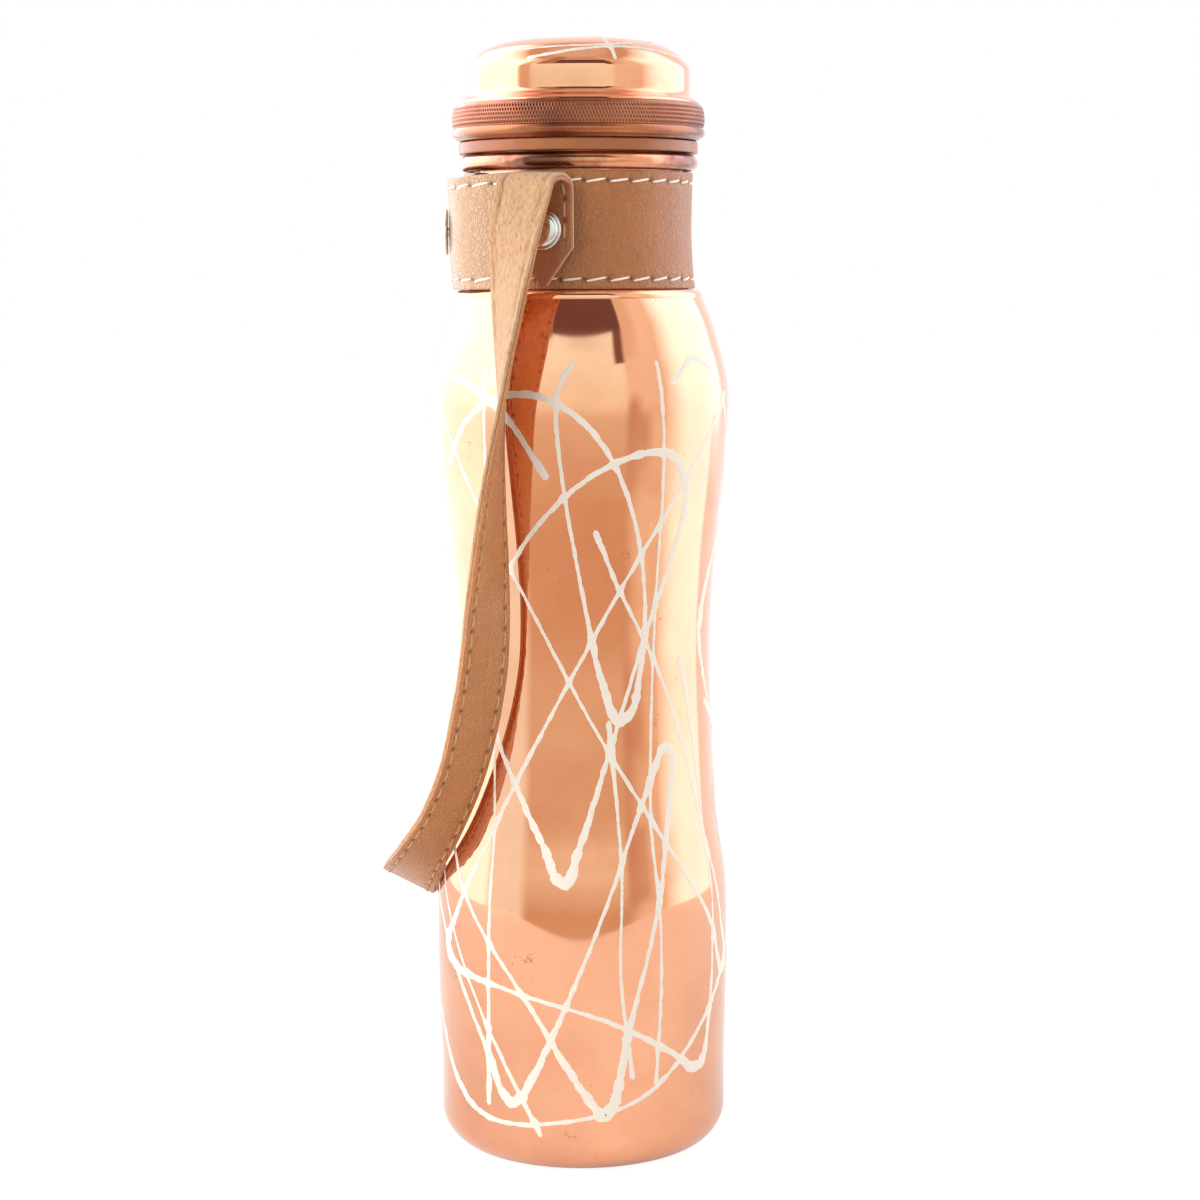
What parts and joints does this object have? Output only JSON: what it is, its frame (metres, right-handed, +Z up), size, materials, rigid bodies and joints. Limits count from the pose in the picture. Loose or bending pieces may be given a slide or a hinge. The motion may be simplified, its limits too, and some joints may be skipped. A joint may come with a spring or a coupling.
{
  "type": "copper bottle",
  "caption": "Waisted copper water bottle with a domed knurled screw cap, a stitched leather neck band closed by a snap, and a riveted leather carrying loop hanging at one side.",
  "frame": {"origin": "centre of the flat underside of the base, on the bottle's own axis", "axes": "+Z up along the bottle's axis through the cap; Y runs through the two rivets of the carrying loop; the loop hangs on the -X side"},
  "size_m": [0.0886, 0.1026, 0.2751],
  "materials": {
    "copper": "polished and lacquered copper, with white enamel lines drizzled over it",
    "inner_brass": "turned",
    "nickel_plate": "polished nickel plate",
    "leather": "pebbled tan grain side",
    "leather_flesh_side": "fibrous flesh side, light tan",
    "white_thread": "waxed thread",
    "tan_thread": "waxed thread",
    "tan_rubber": "matte",
    "white_silicone": "matte"
  },
  "bodies": {
    "bottle": {"bottle_shell": "copper", "base_disc": "copper", "neck_collar": "copper", "neck_gasket": "tan_rubber", "band_outer": "leather", "band_lining": "leather_flesh_side", "band_thread_upper": "white_thread", "band_thread_lower": "white_thread", "snap_cap": "nickel_plate", "snap_socket": "nickel_plate", "snap_stud": "nickel_plate", "snap_post": "nickel_plate", "rivet_cap_front": "nickel_plate", "rivet_cap_rear": "nickel_plate", "rivet_post_front": "nickel_plate", "rivet_post_rear": "nickel_plate", "rivet_spacer_front": "nickel_plate", "rivet_spacer_rear": "nickel_plate"},
    "seal": {"cap_seal_disc": "white_silicone"},
    "cap": {"cap_shell": "copper", "cap_thread_sleeve": "inner_brass"},
    "handle": {"strap_outer": "leather", "strap_lining": "leather_flesh_side", "strap_thread_left": "tan_thread", "strap_thread_right": "tan_thread"}
  },
  "joints": [
    {"name": "cap_lift", "type": "slide", "parent": "bottle", "child": "seal", "axis": [0, 0, 1], "range_m": [0, 0.0121]},
    {"name": "cap_turn", "type": "hinge", "parent": "seal", "child": "cap", "pos_m": [0, 0, 0.2503], "axis": [0, 0, 1], "range_deg": [0, 1080]},
    {"name": "handle_swing", "type": "hinge", "parent": "bottle", "child": "handle", "pos_m": [0, 0, 0.22855], "axis": [0, 1, 0], "range_deg": [0, 165]}
  ],
  "couplings": [
    {"joint": "cap_lift", "follows": "cap_turn", "m_per_rad": 0.00063662}
  ]
}
